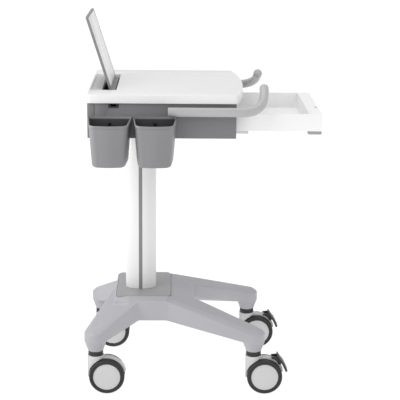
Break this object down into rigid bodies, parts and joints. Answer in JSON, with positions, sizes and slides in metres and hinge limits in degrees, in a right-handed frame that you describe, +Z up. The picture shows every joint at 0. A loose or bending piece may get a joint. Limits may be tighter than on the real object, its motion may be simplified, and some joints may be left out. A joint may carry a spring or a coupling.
{
  "type": "medical cart",
  "caption": "Rolling hospital cart: castor base, fixed column, worktop with tilting panel, sliding drawer, side handles and hanging bins.",
  "frame": {"origin": "middle of the whole cart's footprint, on the floor, with the drawer open", "axes": "+X towards the user side where the drawer opens, -Y towards the side with the bins, +Z up"},
  "size_m": [0.6474, 0.5652, 1.0466],
  "materials": {
    "base_plastic": "fine-textured moulded grey plastic",
    "cover_plastic": "smooth satin grey plastic",
    "column_aluminium": "white powder-coated aluminium extrusion",
    "strip_plastic": "grey plastic insert",
    "steel_plate": "zinc-plated steel",
    "housing_plastic": "satin grey moulded plastic",
    "black_plastic": "black moulded plastic",
    "lock_metal": "dark plated metal",
    "top_plastic": "satin white plastic",
    "liner_plastic": "black plastic trough",
    "panel_plastic": "mid-grey plastic shell",
    "panel_sheet": "pale satin sheet, blank",
    "drawer_plastic": "satin white plastic",
    "grip_plastic": "grey plastic strip",
    "handle_plastic": "light-grey satin coating",
    "bin_plastic": "light-grey moulded plastic",
    "fork_plastic": "light-grey nylon",
    "hub_plastic": "light-grey nylon disc",
    "tyre_rubber": "dark-grey thermoplastic rubber",
    "pin_steel": "ground steel"
  },
  "bodies": {
    "cart": {"base_shell": "base_plastic", "base_cover_plate": "cover_plastic", "column": "column_aluminium", "column_strip_near": "strip_plastic", "column_strip_far": "strip_plastic", "column_head_plate": "steel_plate", "housing_shell": "housing_plastic", "housing_rear_cover": "housing_plastic", "cable_grommet": "black_plastic", "lock_ring": "lock_metal", "tabletop": "top_plastic", "slot_liner": "liner_plastic", "panel_hinge_pin": "pin_steel", "runner_channel_near": "steel_plate", "runner_channel_far": "steel_plate", "handle_near": "handle_plastic", "handle_far": "handle_plastic", "bin_1": "bin_plastic", "bin_2": "bin_plastic", "castor_stem_front_near": "pin_steel", "castor_collar_front_near": "black_plastic", "castor_stem_front_far": "pin_steel", "castor_collar_front_far": "black_plastic", "castor_stem_rear_near": "pin_steel", "castor_collar_rear_near": "black_plastic", "castor_stem_rear_far": "pin_steel", "castor_collar_rear_far": "black_plastic"},
    "swivel_front_near": {"castor_fork_front_near": "fork_plastic", "castor_axle_front_near": "pin_steel"},
    "wheels_front_near": {"tyre_front_near_near": "tyre_rubber", "tyre_front_near_far": "tyre_rubber", "wheel_hub_front_near_near": "hub_plastic", "wheel_hub_front_near_far": "hub_plastic"},
    "pedal_front_near": {"brake_pedal_front_near": "black_plastic"},
    "swivel_front_far": {"castor_fork_front_far": "fork_plastic", "castor_axle_front_far": "pin_steel"},
    "wheels_front_far": {"tyre_front_far_near": "tyre_rubber", "tyre_front_far_far": "tyre_rubber", "wheel_hub_front_far_near": "hub_plastic", "wheel_hub_front_far_far": "hub_plastic"},
    "pedal_front_far": {"brake_pedal_front_far": "black_plastic"},
    "swivel_rear_near": {"castor_fork_rear_near": "fork_plastic", "castor_axle_rear_near": "pin_steel"},
    "wheels_rear_near": {"tyre_rear_near_near": "tyre_rubber", "tyre_rear_near_far": "tyre_rubber", "wheel_hub_rear_near_near": "hub_plastic", "wheel_hub_rear_near_far": "hub_plastic"},
    "swivel_rear_far": {"castor_fork_rear_far": "fork_plastic", "castor_axle_rear_far": "pin_steel"},
    "wheels_rear_far": {"tyre_rear_far_near": "tyre_rubber", "tyre_rear_far_far": "tyre_rubber", "wheel_hub_rear_far_near": "hub_plastic", "wheel_hub_rear_far_far": "hub_plastic"},
    "panel": {"panel_back": "panel_plastic", "panel_face": "panel_sheet"},
    "drawer": {"drawer_tray": "drawer_plastic", "drawer_grip": "grip_plastic"},
    "runner_near": {"runner_slide_near": "steel_plate"},
    "runner_far": {"runner_slide_far": "steel_plate"},
    "lock": {"lock_plug": "lock_metal"}
  },
  "joints": [
    {"name": "castor_swivel_front_near", "type": "hinge", "parent": "cart", "child": "swivel_front_near", "pos_m": [0.15175, -0.14489, 0.108], "axis": [0, 0, 1], "continuous": true},
    {"name": "wheel_roll_front_near", "type": "hinge", "parent": "swivel_front_near", "child": "wheels_front_near", "pos_m": [0.18325, -0.14489, 0.04976], "axis": [0, 1, 0], "continuous": true},
    {"name": "brake_press_front_near", "type": "hinge", "parent": "swivel_front_near", "child": "pedal_front_near", "pos_m": [0.22525, -0.14489, 0.08526], "axis": [0, 1, 0], "range_deg": [0, 10]},
    {"name": "castor_swivel_front_far", "type": "hinge", "parent": "cart", "child": "swivel_front_far", "pos_m": [0.15175, 0.21511, 0.108], "axis": [0, 0, 1], "continuous": true},
    {"name": "wheel_roll_front_far", "type": "hinge", "parent": "swivel_front_far", "child": "wheels_front_far", "pos_m": [0.18325, 0.21511, 0.04976], "axis": [0, 1, 0], "continuous": true},
    {"name": "brake_press_front_far", "type": "hinge", "parent": "swivel_front_far", "child": "pedal_front_far", "pos_m": [0.22525, 0.21511, 0.08526], "axis": [0, 1, 0], "range_deg": [0, 10]},
    {"name": "castor_swivel_rear_near", "type": "hinge", "parent": "cart", "child": "swivel_rear_near", "pos_m": [-0.29225, -0.14489, 0.108], "axis": [0, 0, 1], "continuous": true},
    {"name": "wheel_roll_rear_near", "type": "hinge", "parent": "swivel_rear_near", "child": "wheels_rear_near", "pos_m": [-0.26075, -0.14489, 0.04976], "axis": [0, 1, 0], "continuous": true},
    {"name": "castor_swivel_rear_far", "type": "hinge", "parent": "cart", "child": "swivel_rear_far", "pos_m": [-0.29225, 0.21511, 0.108], "axis": [0, 0, 1], "continuous": true},
    {"name": "wheel_roll_rear_far", "type": "hinge", "parent": "swivel_rear_far", "child": "wheels_rear_far", "pos_m": [-0.26075, 0.21511, 0.04976], "axis": [0, 1, 0], "continuous": true},
    {"name": "panel_tilt", "type": "hinge", "parent": "cart", "child": "panel", "pos_m": [-0.24275, 0.03511, 0.832], "axis": [0, 1, 0], "range_deg": [-12, 15]},
    {"name": "drawer_slide", "type": "slide", "parent": "cart", "child": "drawer", "axis": [1, 0, 0], "range_m": [-0.233, 0]},
    {"name": "runner_travel_near", "type": "slide", "parent": "cart", "child": "runner_near", "axis": [1, 0, 0], "range_m": [-0.1165, 0]},
    {"name": "runner_travel_far", "type": "slide", "parent": "cart", "child": "runner_far", "axis": [1, 0, 0], "range_m": [-0.1165, 0]},
    {"name": "lock_turn", "type": "hinge", "parent": "cart", "child": "lock", "pos_m": [0.09075, -0.03489, 0.817], "axis": [1, 0, 0], "range_deg": [-90, 0]}
  ],
  "couplings": [
    {"joint": "runner_travel_near", "follows": "drawer_slide", "ratio": 0.5},
    {"joint": "runner_travel_far", "follows": "drawer_slide", "ratio": 0.5}
  ]
}
